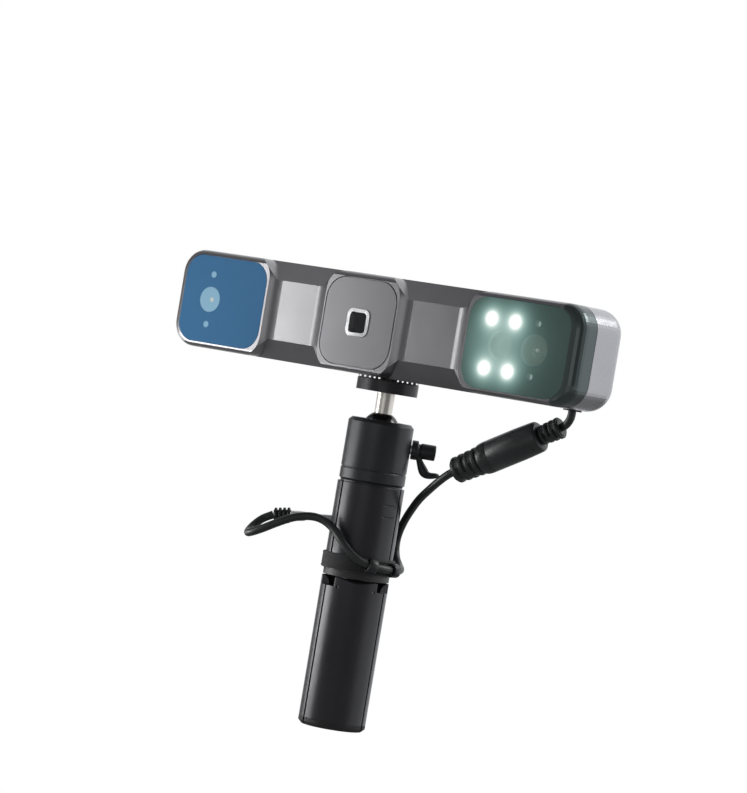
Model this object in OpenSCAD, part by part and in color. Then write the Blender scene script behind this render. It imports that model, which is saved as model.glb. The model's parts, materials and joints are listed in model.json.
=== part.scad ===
// Handheld 3-D scanner: a bar-shaped scanning head on a ball head, whose grip
// opens into a mini tripod, with the short cord that runs from head to grip.
// Frame: X along the head, -Y out of its front, +Z up the grip's axis, and the
// origin at the middle of the grip. Millimetres.

/* [Head] */
// Length of the scanning head
head_l = 212; // [208:1:222]
// Height of the scanning head
head_h = 42; // [41:0.5:44]
// How far the front faces stand before the grip's axis
front_reach = 20; // [19:0.5:22]
// How far the back stands behind the grip's axis
back_reach = 13; // [13:0.5:16]
// Corner radius of the head, seen from the front
corner_r = 10.5; // [9:0.5:12]
// Wall thickness of both shells
wall = 2; // [1.6:0.2:2.2]
// Height of the recessed panels between the three modules
panel_h = 25.4; // [24:0.2:27]
// How far those panels lie behind the front faces
panel_recess = 2; // [2:0.5:3.5]

/* [Windows] */
// Height of the two glass windows
window_h = 37.4; // [36:0.2:38]
// Width of the left window
left_w = 44.6; // [42:0.2:46]
// Width of the right window
right_w = 50.4; // [48:0.2:51]
// Width and height of the centre cover
cover_w = 36.6; // [35:0.2:37]
// Thickness of the window glass
glass_t = 1.5; // [1:0.1:1.6]
// Radius of a camera barrel
barrel_r = 6.5; // [6:0.1:6.8]

/* [Ball head] */
// Radius of the ball
ball_r = 8; // [7.8:0.1:8]
// Radius of the housing round the ball
housing_r = 13.9; // [13.6:0.1:14.2]
// Radius of the disc under the head
disc_r = 13; // [12:0.5:14]
// Radius of the stem between ball and disc
stem_r = 3.75; // [3.5:0.05:4]
// Direction of the clamp lever, from +X towards +Y
lever_az = 40; // [30:1:50]

/* [Grip] */
// Radius of the grip and of the folded legs
grip_r = 14.2; // [14:0.1:14.6]
// Half the grip's length
grip_half = 52; // [52:1:60]
// Gap between two folded legs
leg_gap = 1; // [0.8:0.1:1.4]
// Direction of the first leg, from +X towards +Y
leg_az = -50; // [-60:1:-40]

/* [Cord] */
// Diameter of the cord
cord_d = 3.4; // [3:0.1:3.6]

/* [Hidden] */

$fn = 64;
eps = 0.02;

// Heights along the grip's axis
ball_z = 74.5;
housing_z = grip_half;
housing_h = 26.5;
disc_z = 90.3;
disc_h = 5;
pad_h = 1;
head_z = disc_z + disc_h + pad_h + head_h / 2;

// Planes of the head, front to back
y_front = -front_reach;
y_split = -9.5;
y_back = back_reach;
seal_t = 0.3;
end_round = 4.5;
edge_round = 2.3;
back_round = 7;
panel_y = y_front + panel_recess;
facet_back_y = -10.5;

// Where the windows and modules lie along X
rim = 1;
left_x = [-57.3 - left_w, -57.3];
right_x = [50.2, 50.2 + right_w];
cover_x = -5.7;
window_r = 8.4;
cover_r = 9.2;
cover_gap = 0.4;
module_r = 8.5;
pocket_d = glass_t + 0.1;
floor_t = 1.3;
floor_y = y_front + pocket_d + floor_t;
valleys = [
    [left_x[1] + rim, cover_x - cover_w / 2 - rim],
    [cover_x + cover_w / 2 + rim, right_x[0] - rim]];
scoop_w = 6;

// Optics behind the windows
left_cam = [-86.8, 0];
right_cam = [84.4, 0];
flood_at = [67.3, 0];
marker_rise = 10.8;
lamp_cols = [61.4, 73.2];
lamp_rise = 10.2;
bezel_w = 11.6;
bezel_r = 3;
slot_w = 8.6;

// Circuit boards and fixings inside the head
bench_y = -8.4;
bench_t = 3;
board_y = 4;
board_t = 1.6;
board_l = 124;
board_h = 28;
screw_at = [for (x = [-99.5, 99.5], z = [-11.5, 11.5]) [x, z]];
post_at = [for (x = [-50, 40], z = [-10, 10]) [x, z]];
boss_r = 3;
gland_at = [92, 3];

// Rear controls: [x, radius of the cap]
scan_key = [0, 8];
up_at = [20, 4.5];
down_at = [-20, 4.5];
light_x = 34;
key_gap = 0.3;
key_proud = 0.8;

// Ball head
cup_in = ball_r + 0.05;
cup_out = 9.3;
seat_r = cup_out + 0.05;
bore_r = 9.6;
lever_z = 68.5;
pusher_r = 2.4;
screw_r = 2;
run_gap = 0.05;
// The lever's wing: distance out, drop below the barrel, radius and thickness
wing = [[17.6, 2.4, 1.8, 4.6], [19.7, 5.9, 1.3, 4.2], [21.5, 9.4, 2, 3.8],
    [26.4, 9, 1.7, 3]];

// Legs: pivot radius and height, and the largest reach of the knuckle
pivot_r = 11.2;
pivot_z = 7.3;
knuckle_r = 3.9;
knuckle_w = 9;
pin_r = 0.9;
lug_w = 2.3;
lug_r = 1.7;
hub_r = 6.9;
hub_top = 14;
foot_h = 3;
leg_turns = [0, 120, 240];

// The band round the grip, and the guide that holds the cord on it
band_z = [14.4, 21];
band_t = 1.3;

// The cord: from the gland through the inline connector to the plug
lead_route = [
    [92, 3, 95.7], [92, 3, 94.2], [91.6, 3.1, 92.4], [90.4, 3.5, 90.6],
    [88.8, 4.3, 89.4], [87, 5, 88.6]];
connector_end = [42.3, -0.8, 63.4];
cord_route = [
    [42.3, -0.8, 63.4], [39.1, -1, 61.3], [34.4, -0.2, 57.8], [28.2, 2.4, 53.4],
    [21.3, 6.5, 48.9], [14.8, 11.1, 43.8], [9.2, 14.9, 38.1], [5.7, 17.1, 32.2],
    [4.7, 18, 26.8], [6.4, 17.2, 22.3], [9.8, 15.2, 19.5],
    [13.6, 11.7, 18.1], [16.3, 7, 17.7], [17.5, 1.5, 17.6],
    [16.9, -4.2, 17.7], [14.4, -9.5, 18.3], [10.6, -13.7, 19.9],
    [6.6, -16.1, 22.9], [2.6, -17.1, 26.6], [-1.5, -17.1, 29.9],
    [-5.6, -17.4, 32.5], [-9.8, -18.6, 34.1], [-14, -21.2, 34.2],
    [-18.7, -24.9, 32.6], [-23.8, -28.6, 29.4], [-29.4, -30.8, 25.9],
    [-34.6, -31, 23.6], [-38.6, -28.2, 23.2], [-40.3, -23.5, 25.8],
    [-39.2, -19.4, 29.2], [-35.9, -16.5, 31.8]];
plug_dir = [22.3, 15.4, 2.85];
boot_l = [10, 13];
plug_l = [7.3, 6.7, 17.7];

steel = "silver";
black = [0.13, 0.13, 0.14];
graphite = [0.36, 0.36, 0.39];

// ---- shared shapes ----

module rounded(w, h, r) {
    square([w - 2 * r, h], center = true);
    square([w, h - 2 * r], center = true);
    for (x = [-1, 1], y = [-1, 1])
        translate([x * (w / 2 - r), y * (h / 2 - r)]) circle(r);
}

// A front-view outline made solid from plane y0 back to plane y1
module slab(y0, y1) {
    translate([0, y1, 0]) rotate([90, 0, 0])
        linear_extrude(y1 - y0) children();
}

// A pin along Y in the head's own frame
module pin_y(at, r, y0, y1) {
    translate([at[0], y1, at[1]]) rotate([90, 0, 0]) cylinder(h = y1 - y0, r = r);
}

module in_head() {
    translate([0, 0, head_z]) children();
}

// One rounded outline of the bar, in by dx at its ends and dz above and below
module bar_layer(y, dx, dz, r) {
    translate([0, y, 0]) rotate([90, 0, 0])
        linear_extrude(eps) rounded(head_l - 2 * dx, head_h - 2 * dz, r, $fn = 48);
}

module bar_straight(y0, y1, inset) {
    slab(y0, y1)
        rounded(head_l - 2 * inset, head_h - 2 * inset, corner_r - inset, $fn = 48);
}

module bar_front() {
    hull() {
        bar_straight(y_front + end_round, y_split, 0);
        for (a = [18 : 18 : 90])
            bar_layer(y_front + eps + end_round * (1 - sin(a)),
                end_round * (1 - cos(a)), edge_round * (1 - cos(a)),
                corner_r - edge_round * (1 - cos(a)));
    }
}

module bar_back(inset, y_start, y_end, round_r) {
    hull() {
        bar_straight(y_start, y_end - round_r, inset);
        for (a = [15 : 15 : 90])
            bar_layer(y_end - round_r * (1 - sin(a)),
                inset + round_r * (1 - cos(a)), inset + round_r * (1 - cos(a)),
                corner_r - inset - (corner_r - inset - 2) * (1 - cos(a)));
    }
}

// Local +Z turned along a direction
module aim(from, dir) {
    translate(from)
        rotate([0, acos(dir[2] / norm(dir)), atan2(dir[1], dir[0])]) children();
}

// ---- sweep for the cords ----

function unit(v) = v / norm(v);
function heading(p, i) =
    unit(p[min(i + 1, len(p) - 1)] - p[max(i - 1, 0)]);
function side_axis(p, i) = i == 0
    ? unit(cross(heading(p, 0), [0.3, 1, 0.2]))
    : let (t = heading(p, i), u = side_axis(p, i - 1)) unit(u - t * (u * t));

module cord_tube(p, d) {
    sides = 8;
    n = len(p);
    rings = [for (i = [0 : n - 1])
        let (t = heading(p, i), u = side_axis(p, i), w = cross(t, u))
        for (k = [0 : sides - 1])
            p[i] + d / 2 * (cos(360 * k / sides) * u + sin(360 * k / sides) * w)];
    skin = [for (i = [0 : n - 2], k = [0 : sides - 1])
        let (a = i * sides + k, b = i * sides + (k + 1) % sides)
        each [[a, a + sides, b + sides], [a, b + sides, b]]];
    caps = [[for (k = [0 : sides - 1]) k],
        [for (k = [sides - 1 : -1 : 0]) (n - 1) * sides + k]];
    polyhedron(rings, concat(skin, caps));
}

// ---- head shells ----

// Section of a scoop, from a module's edge to the flat panel: distance from the
// edge against distance forward of the grip's axis
module scoop_section(from) {
    fillet = (scoop_w * scoop_w / panel_recess + panel_recess) / 2;
    intersection() {
        translate([from, -panel_y]) square([scoop_w, panel_recess + 4]);
        translate([from + scoop_w, fillet - panel_y]) circle(fillet, $fn = 128);
    }
}

// The hollow between two modules: its flat panel, the scoops that lead up to
// the modules and round their corners, and the facets above and below
module valley(v) {
    straight = head_h / 2 - module_r;
    translate([v[0] + scoop_w - eps, panel_y - panel_recess - 4, -head_h])
        cube([v[1] - v[0] - 2 * scoop_w + 2 * eps, panel_recess + 4, 2 * head_h]);
    for (e = [0, 1])
        translate([v[e], 0, 0]) mirror([e, 0, 0]) {
            mirror([0, 1, 0]) linear_extrude(2 * straight, center = true)
                scoop_section(0);
            for (s = [0, 1])
                mirror([0, 0, s]) translate([-module_r, 0, straight])
                    rotate([90, 0, 0]) rotate_extrude(angle = 60, $fn = 128)
                        scoop_section(module_r);
        }
    facet(v);
    mirror([0, 0, 1]) facet(v);
}

// Front view of the facet above a panel, between the modules' round corners
module facet_outline(v) {
    top = head_h / 2;
    low = panel_h / 2;
    reach = module_r * sin(45);
    flare = top - low - module_r * (2 - sqrt(2));
    difference() {
        translate([v[0] - module_r, low])
            square([v[1] - v[0] + 2 * module_r, top]);
        for (s = [0, 1])
            translate([v[s], 0]) mirror([s, 0]) {
                translate([-2 * module_r, 0])
                    square([2 * module_r, top - module_r]);
                translate([-module_r, top - module_r]) circle(module_r);
                polygon([[flare, low],
                    [reach - module_r, top - module_r + reach],
                    [-module_r, low]]);
            }
    }
}

// The slope from a panel's edge back to the top of the head
module facet(v) {
    rise = head_h / 2 - panel_h / 2;
    run = facet_back_y - panel_y;
    intersection() {
        slab(y_front - 5, 0) facet_outline(v);
        translate([v[0] - 20, panel_y, panel_h / 2])
            rotate([atan2(rise, run), 0, 0]) translate([0, -20, 0])
                cube([v[1] - v[0] + 40, 40, 30]);
    }
}

// Inside of the front shell: three deep bays joined by a bevelled channel
module front_cavity() {
    bays = [[left_x[0] + 2, left_x[1] - 3],
        [cover_x - cover_w / 2 + 3, cover_x + cover_w / 2 - 3],
        [right_x[0] + 3, right_x[1] - 2]];
    intersection() {
        slab(y_front, y_split + eps)
            rounded(head_l - 2 * wall, head_h - 2 * wall, corner_r - wall);
        union() {
            for (b = bays)
                translate([b[0], floor_y, wall - head_h / 2 + 0.4])
                    cube([b[1] - b[0], 20, head_h - 2 * wall - 0.8]);
            rotate([90, 0, 90]) linear_extrude(head_l - 2 * wall, center = true)
                polygon([[panel_y + 2.5, -12.4], [y_split + 1, -19.6],
                    [y_split + 1, 19.6], [panel_y + 2.5, 12.4]]);
        }
    }
}

module window_outline(x, grow) {
    translate([(x[0] + x[1]) / 2, 0])
        rounded(x[1] - x[0] + 2 * grow, window_h + 2 * grow, window_r + grow);
}

module cover_outline(grow) {
    translate([cover_x, 0])
        rounded(cover_w + 2 * grow, cover_w + 2 * grow, cover_r + grow);
}

module front_shell() {
    color(graphite) in_head() difference() {
        union() {
            difference() {
                bar_front();
                for (v = valleys) valley(v);
                slab(y_front - 1, y_front + pocket_d) {
                    window_outline(left_x, 0.1);
                    window_outline(right_x, 0.1);
                    cover_outline(cover_gap);
                }
                front_cavity();
            }
            for (at = screw_at) pin_y(at, boss_r, floor_y - 0.5, y_split);
        }
        for (at = screw_at) pin_y(at, 1.15, floor_y + 0.5, 0);
        for (c = [left_cam, right_cam])
            pin_y(c, barrel_r + 0.1, y_front, y_split);
        pin_y(flood_at, 5.6, y_front, y_split);
        for (x = lamp_cols, s = [-1, 1])
            pin_y([x, s * lamp_rise], 2.9, y_front, y_split);
        for (c = [left_cam, right_cam], s = [-1, 1])
            pin_y([c[0], s * marker_rise], 1.3, y_front, y_split);
        translate([cover_x, 0, 0]) slab(y_front, y_split)
            rounded(bezel_w + 0.6, bezel_w + 0.6, bezel_r);
    }
}

module rear_shell() {
    color("silver") in_head() {
        difference() {
            union() {
                difference() {
                    bar_back(0, y_split + seal_t, y_back, back_round);
                    bar_back(wall, y_split - 1, y_back - wall,
                        back_round - wall);
                }
                for (at = screw_at)
                    pin_y(at, boss_r, y_split + seal_t, y_back - wall);
                translate([0, 0, wall - head_h / 2 - 0.5])
                    cylinder(h = 4.7, r = 6.4);
            }
            for (at = screw_at) {
                pin_y(at, 1.35, y_split, y_back + 1);
                pin_y(at, 2.5, y_back - 2.6, y_back + 1);
            }
            translate([0, 0, -head_h / 2 - 1]) cylinder(h = 12, r = 4.6);
            translate([gland_at[0], gland_at[1], -head_h / 2 - 1])
                cylinder(h = 6, r = 3.1);
            for (k = [scan_key, up_at, down_at])
                pin_y([k[0], 0], k[1] + key_gap, y_back - wall - 1, y_back + 1);
            translate([light_x, 0, 0]) slab(y_back - wall - 1, y_back + 1)
                rounded(10.1, 3.1, 1.5);
            // cooling slots in the back
            for (x = [-66 : 6 : -42])
                translate([x, 0, 0]) slab(y_back - wall - 1, y_back + 1)
                    rounded(2, 18, 0.99);
        }
    }
}

module shell_seal() {
    color(black) in_head()
        slab(y_split, y_split + seal_t) difference() {
            rounded(head_l - 1.2, head_h - 1.2, corner_r - 0.6);
            rounded(head_l - 2 * wall, head_h - 2 * wall, corner_r - wall);
        }
}

module shell_screws() {
    color(steel) in_head()
        for (at = screw_at)
            difference() {
                union() {
                    pin_y(at, 1.1, floor_y + 1, y_back - 2.6);
                    pin_y(at, 2.3, y_back - 2.6, y_back - 0.6);
                }
                translate([at[0], y_back, at[1]]) rotate([90, 0, 0])
                    cylinder(h = 1.8, r = 1.25, $fn = 6);
            }
}

// ---- windows and what lies behind them ----

module left_window() {
    color([0.2, 0.42, 0.62]) in_head()
        slab(y_front, y_front + glass_t) window_outline(left_x, 0);
}

module right_window() {
    color([0.2, 0.3, 0.29]) in_head()
        slab(y_front, y_front + glass_t) window_outline(right_x, 0);
}

module centre_cover() {
    color([0.5, 0.5, 0.53]) in_head()
        difference() {
            slab(y_front, y_front + pocket_d) cover_outline(0);
            translate([cover_x, 0, 0]) slab(y_front - 1, 0)
                rounded(bezel_w, bezel_w, bezel_r);
        }
}

module slot_bezel() {
    color("white") in_head() translate([cover_x, 0, 0])
        slab(y_front - 0.4, y_front + 3.4) difference() {
            rounded(bezel_w, bezel_w, bezel_r);
            rounded(slot_w, slot_w, bezel_r - (bezel_w - slot_w) / 2);
        }
}

module slot_window() {
    color("black") in_head() translate([cover_x, 0, 0])
        slab(y_front + 1.2, y_front + 2.2)
            rounded(slot_w, slot_w, bezel_r - (bezel_w - slot_w) / 2);
}

module pattern_projector() {
    color([0.2, 0.2, 0.22]) in_head() translate([cover_x, 0, 0]) {
        difference() {
            slab(y_front + 3.4, bench_y) rounded(20, 18, 2);
            pin_y([0, 0], 3.4, y_front, y_front + 7);
        }
        pin_y([0, 0], 7, bench_y, bench_y + bench_t);
        slab(bench_y + bench_t, board_y - 1) rounded(22, 20, 2);
    }
}

module camera_body(at) {
    sensor = 16;
    in_head() {
        difference() {
            pin_y(at, barrel_r, y_front + pocket_d, bench_y + bench_t);
            pin_y(at, 5.4, y_front, y_front + pocket_d + 5);
        }
        translate([at[0], 0, at[1]])
            slab(bench_y + bench_t, board_y - 2) rounded(sensor, sensor, 1.5);
    }
}

module left_camera() {
    color([0.3, 0.45, 0.6]) camera_body(left_cam);
}

module right_camera() {
    color([0.35, 0.42, 0.4]) camera_body(right_cam);
}

// A camera lens: a disc whose front is domed
module lens(at) {
    dome = 9;
    front = y_front + pocket_d + 0.5;
    in_head() intersection() {
        pin_y(at, 5.4, front - 0.4, y_front + pocket_d + 5);
        translate([at[0], front + dome, at[1]]) sphere(dome);
    }
}

module left_lens() {
    color([0.5, 0.7, 0.85]) lens(left_cam);
}

module right_lens() {
    color([0.5, 0.6, 0.58]) lens(right_cam);
}

module flood_lens() {
    front = y_front + pocket_d + 0.4;
    color([0.6, 0.7, 0.68]) in_head() intersection() {
        pin_y(flood_at, 5.5, front - 0.3, floor_y + 2);
        translate([flood_at[0], front + 11, flood_at[1]]) sphere(11);
    }
}

module flood_lamp() {
    color([0.25, 0.25, 0.27]) in_head() difference() {
        pin_y(flood_at, 7, floor_y + 0.05, bench_y + bench_t + 4);
        pin_y(flood_at, 5.5, y_front, floor_y + 2);
    }
}

module lamp_board() {
    board_w = 20.5;
    mid = (lamp_cols[0] + lamp_cols[1]) / 2;
    color([0.1, 0.28, 0.2]) in_head() difference() {
        translate([mid, 0, 0]) slab(floor_y + 0.9, floor_y + 1.9)
            rounded(board_w, 29, 2);
        pin_y(flood_at, 7.1, y_front, y_split);
    }
}

module lamp_leds() {
    color("white") in_head()
        for (x = lamp_cols, s = [-1, 1]) {
            pin_y([x, s * lamp_rise], 2.6, y_front + 2.4, floor_y + 0.9);
            intersection() {
                pin_y([x, s * lamp_rise], 2.6, y_front, y_front + 2.4);
                translate([x, y_front + 4.6, s * lamp_rise]) sphere(2.9);
            }
        }
}

module marker_leds() {
    color("white") in_head()
        for (c = [left_cam, right_cam], s = [-1, 1])
            pin_y([c[0], s * marker_rise], 1.2, y_front + pocket_d + 0.2,
                floor_y + 1.5);
}

module optical_bench() {
    length = 2 * 92;
    color([0.7, 0.7, 0.72]) in_head() difference() {
        slab(bench_y, bench_y + bench_t) rounded(length, 28, 3);
        for (c = [left_cam, right_cam])
            pin_y(c, barrel_r, y_front, y_back);
        for (c = [flood_at, [cover_x, 0]])
            pin_y(c, 7, y_front, y_back);
        for (x = [-60 : 20 : -20])
            translate([x + 8, 0, 0]) slab(y_front, y_back) rounded(12, 12, 3);
        for (x = [22, 40])
            translate([x, 0, 0]) slab(y_front, y_back) rounded(12, 12, 3);
    }
}

module board_posts() {
    color("goldenrod") in_head()
        for (at = post_at) pin_y(at, 2, bench_y + bench_t, board_y);
}

module main_board() {
    color([0.1, 0.3, 0.22]) in_head() {
        slab(board_y, board_y + board_t) rounded(board_l, board_h, 2);
        // the three switches under the keys, and the processors
        for (k = [scan_key, up_at, down_at])
            translate([k[0], 0, 0])
                slab(board_y + board_t, board_y + board_t + 1.2) square(5, center = true);
        for (x = [-54, 48])
            translate([x, 0, 0])
                slab(board_y + board_t, board_y + board_t + 1) square(11, center = true);
    }
}

module heat_sink() {
    base = board_y + board_t + 1;
    color([0.6, 0.6, 0.62]) in_head() translate([-54, 0, 0]) {
        slab(base, base + 1.2) square([24, 22], center = true);
        for (x = [-11 : 4 : 9])
            translate([x, base + 1.2, -11]) cube([1.2, 2.2, 22]);
    }
}

module thread_insert() {
    color("goldenrod") in_head() translate([0, 0, -head_h / 2])
        difference() {
            cylinder(h = 6, r = 4.6);
            translate([0, 0, -1]) cylinder(h = 8, r = 3.175);
        }
}

module cable_gland() {
    color(black) in_head()
        translate([gland_at[0], gland_at[1], -head_h / 2]) {
            difference() {
                union() {
                    translate([0, 0, -0.6]) cylinder(h = 0.6, r = 3.8);
                    cylinder(h = wall + 0.2, r = 3.1);
                    translate([0, 0, wall + 0.2]) cylinder(h = 1.5, r = 4.2);
                }
                translate([0, 0, wall]) cylinder(h = 5, r = cord_d / 2);
            }
        }
}

// ---- rear controls ----

module push_key(k) {
    in_head() {
        pin_y([k[0], 0], k[1], y_back - wall - 0.6, y_back + key_proud);
        pin_y([k[0], 0], k[1] + 1.2, y_back - wall - 1.4, y_back - wall - 0.2);
        pin_y([k[0], 0], 1.5, board_y + board_t + 2.2, y_back - wall - 1.4);
    }
}

module scan_button() {
    color([0.75, 0.3, 0.15]) push_key(scan_key);
}

module up_key() {
    color(black) push_key(up_at);
}

module down_key() {
    color(black) push_key(down_at);
}

module status_light() {
    color([0.6, 0.9, 0.7]) in_head() translate([light_x, 0, 0])
        slab(y_back - wall, y_back + 0.1) rounded(10, 3, 1.49);
}

// ---- disc, stem and ball ----

module mount_disc() {
    color(black) translate([0, 0, disc_z]) difference() {
        cylinder(h = disc_h, r = disc_r, $fn = 96);
        translate([0, 0, -1]) cylinder(h = disc_h + 2, r = 3.175);
    }
}

// Ridged rubber face: straight ribs across the disc
module rubber_pad() {
    pitch = 2;
    color([0.08, 0.08, 0.08]) translate([0, 0, disc_z + disc_h]) difference() {
        cylinder(h = pad_h, r = disc_r - 0.3, $fn = 96);
        translate([0, 0, -1]) cylinder(h = 3, r = 3.6);
        rotate([0, 0, leg_az - 3]) for (i = [-6 : 6])
            translate([-disc_r, i * pitch - 0.4, 0.3])
                cube([2 * disc_r, 0.8, pad_h]);
    }
}

module camera_stud() {
    color(steel) translate([0, 0, disc_z])
        cylinder(h = disc_h + pad_h + 5.4, r = 3.175);
}

module stem() {
    seat = 6.9;
    color([0.85, 0.83, 0.78]) translate([0, 0, ball_z]) {
        translate([0, 0, seat])
            cylinder(h = disc_z - ball_z - seat, r = stem_r);
        translate([0, 0, 2]) cylinder(h = seat - 2, r = 2.6);
    }
}

module ball() {
    seat = 6.9;
    color([0.2, 0.2, 0.2]) translate([0, 0, ball_z]) difference() {
        sphere(ball_r, $fn = 96);
        translate([0, 0, seat]) cylinder(h = 5, r = 10);
        translate([0, 0, 2]) cylinder(h = 10, r = 2.6);
    }
}

// The bowl under the ball, which sits in the seat ring
module ball_cup() {
    rim_drop = cup_out * sin(30);
    color([0.75, 0.73, 0.65]) translate([0, 0, ball_z]) difference() {
        sphere(cup_out, $fn = 96);
        sphere(cup_in, $fn = 96);
        translate([0, 0, -rim_drop]) cylinder(h = 20, r = 12);
    }
}

module seat_ring() {
    color([0.6, 0.6, 0.58]) difference() {
        translate([0, 0, 60]) cylinder(h = 5.8, r = bore_r - run_gap);
        translate([0, 0, ball_z]) sphere(seat_r, $fn = 96);
    }
}

// ---- ball housing and clamp ----

// A pin along the clamp lever's axis, between two distances from the grip's axis
module clamp_pin(r, q0, q1) {
    rotate([0, 0, lever_az]) translate([q0, 0, lever_z]) rotate([0, 90, 0])
        cylinder(h = q1 - q0, r = r);
}

module ball_housing() {
    chamfer = 1.4;
    top = housing_z + housing_h;
    color([0.16, 0.17, 0.18]) difference() {
        rotate_extrude($fn = 128) polygon([
            [0, housing_z], [housing_r - 0.8, housing_z],
            [housing_r, housing_z + 0.8], [housing_r, housing_z + 5],
            [housing_r - 0.25, housing_z + 5.25],
            [housing_r - 0.25, housing_z + 5.6],
            [housing_r, housing_z + 5.85], [housing_r, top - chamfer],
            [housing_r - chamfer, top], [0, top]]);
        translate([0, 0, 60]) cylinder(h = ball_z - 60, r = bore_r);
        translate([0, 0, ball_z]) sphere(ball_r + 0.3, $fn = 96);
        translate([0, 0, ball_z]) cylinder(h = 3.1, r = 7.5);
        translate([0, 0, top - 1.8]) cylinder(h = 1.9, r1 = 7.3, r2 = 9.2);
        translate([0, 0, housing_z - 1]) cylinder(h = 6, r = 2.5);
        clamp_pin(pusher_r + run_gap, 5, 11.6);
        clamp_pin(screw_r + run_gap, 5, 15);
    }
}

module clamp_pusher() {
    color("goldenrod") difference() {
        clamp_pin(pusher_r, 6, 11);
        translate([0, 0, ball_z]) sphere(9.7, $fn = 96);
    }
}

module clamp_screw() {
    color(steel) clamp_pin(screw_r, 11.7, 18);
}

module clamp_lever() {
    hub_q = housing_r + 0.4;
    color(black) {
        difference() {
            union() {
                clamp_pin(4.1, hub_q, hub_q + 2.6);
                clamp_pin(3.3, hub_q + 2.6, hub_q + 10.2);
            }
            clamp_pin(screw_r, hub_q - 1, 18);
        }
        // the hooked wing that the thumb turns, cut clear of the barrel
        difference() {
            rotate([0, 0, lever_az]) for (i = [0 : len(wing) - 2])
                hull() for (k = [i, i + 1])
                    translate([wing[k][0], 0, lever_z - wing[k][1]])
                        rotate([90, 0, 0])
                            cylinder(h = wing[k][3], r = wing[k][2],
                                center = true, $fn = 32);
            clamp_pin(3.29, hub_q - 1, hub_q + 12);
        }
    }
}

// ---- grip ----

module tie_screw() {
    color(steel) {
        translate([0, 0, 3.8]) cylinder(h = 2.4, r = 4);
        translate([0, 0, 6.2]) cylinder(h = 50.6, r = 2.5);
    }
}

module plug_solid(grow, from, to) {
    thick = 2.6;
    wide = 8;
    aim(cord_route[len(cord_route) - 1], plug_dir)
        translate([0, 0, from]) linear_extrude(to - from)
            rounded(thick + 2 * grow, wide + 2 * grow, thick / 2 - 0.01 + grow);
}

module grip_shell() {
    inner = 11.7;
    color([0.14, 0.14, 0.15]) difference() {
        translate([0, 0, hub_top])
            cylinder(h = housing_z - hub_top, r = grip_r, $fn = 128);
        translate([0, 0, hub_top - 1])
            cylinder(h = housing_z - hub_top - 3, r = inner);
        translate([0, 0, 40]) cylinder(h = 20, r = 2.5);
        // three seams in line with the gaps between the legs
        for (turn = leg_turns)
            rotate([0, 0, leg_az + 60 + turn]) translate([grip_r - 1, -0.5, hub_top - 1])
                cube([3, 1, housing_z]);
        // shadow line under the housing
        translate([0, 0, housing_z - 0.8]) difference() {
            cylinder(h = 2, r = grip_r + 1, $fn = 128);
            translate([0, 0, -1]) cylinder(h = 4, r = grip_r - 1, $fn = 128);
        }
        // grooved mark on the side
        rotate([0, 0, leg_az + 38]) translate([grip_r - 0.45, 0, 41.5])
            rotate([0, 90, 0]) linear_extrude(3) difference() {
                rounded(5.4, 8.2, 1.8);
                rounded(4.4, 7.2, 1.3);
            }
        plug_solid(0.1, 20, plug_l[0] + plug_l[1] + plug_l[2] + 1);
    }
}

module leg_hub() {
    color(black) difference() {
        union() {
            translate([0, 0, 3.6]) cylinder(h = hub_top - 3.6, r = hub_r);
            translate([0, 0, 11.6])
                cylinder(h = hub_top - 11.6, r = grip_r - 0.2, $fn = 128);
            translate([0, 0, hub_top]) cylinder(h = 3, r = 11.6);
            for (turn = leg_turns)
                rotate([0, 0, leg_az + turn]) {
                    translate([hub_r - 1, -lug_w, pivot_z - lug_r])
                        cube([pivot_r - hub_r + 1, 2 * lug_w, 2 * lug_r]);
                    translate([pivot_r, lug_w, pivot_z]) rotate([90, 0, 0])
                        cylinder(h = 2 * lug_w, r = lug_r);
                }
        }
        for (turn = leg_turns)
            rotate([0, 0, leg_az + turn]) translate([pivot_r, 5, pivot_z])
                rotate([90, 0, 0]) cylinder(h = 10, r = pin_r);
        translate([0, 0, 2]) cylinder(h = 20, r = 2.5);
        translate([0, 0, 2]) cylinder(h = 4.2, r = 4.05);
    }
}

module leg_pins() {
    color(steel) for (turn = leg_turns)
        rotate([0, 0, leg_az + turn]) translate([pivot_r, 7.6, pivot_z])
            rotate([90, 0, 0]) cylinder(h = 15.2, r = pin_r);
}

// The third of a circle that one folded leg fills
module leg_sector() {
    tip = leg_gap / 2 / sin(60);
    polygon([[tip, 0], [tip + 20, 20 * tan(60)], [tip + 20, -20 * tan(60)]]);
}

module leg(turn) {
    low = foot_h - grip_half;
    color([0.14, 0.14, 0.15]) rotate([0, 0, leg_az + turn]) difference() {
        union() {
            intersection() {
                translate([0, 0, low])
                    cylinder(h = pivot_z - low, r = grip_r, $fn = 128);
                translate([0, 0, low]) linear_extrude(pivot_z - low) leg_sector();
            }
            intersection() {
                translate([0, 0, pivot_z - eps])
                    cylinder(h = knuckle_r, r = grip_r, $fn = 128);
                translate([pivot_r, knuckle_w, pivot_z]) rotate([90, 0, 0])
                    cylinder(h = 2 * knuckle_w, r = knuckle_r);
            }
        }
        translate([0, 0, low - 1]) cylinder(h = 4 - low, r = 3.2);
        translate([0, 0, 3]) cylinder(h = 12, r = hub_r + 0.35);
        translate([4, -lug_w - 0.3, pivot_z - lug_r - 0.4])
            cube([grip_r - 1.25 - 4, 2 * lug_w + 0.6, 12]);
        translate([pivot_r, 8, pivot_z]) rotate([90, 0, 0])
            cylinder(h = 16, r = pin_r + run_gap);
    }
}

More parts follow.
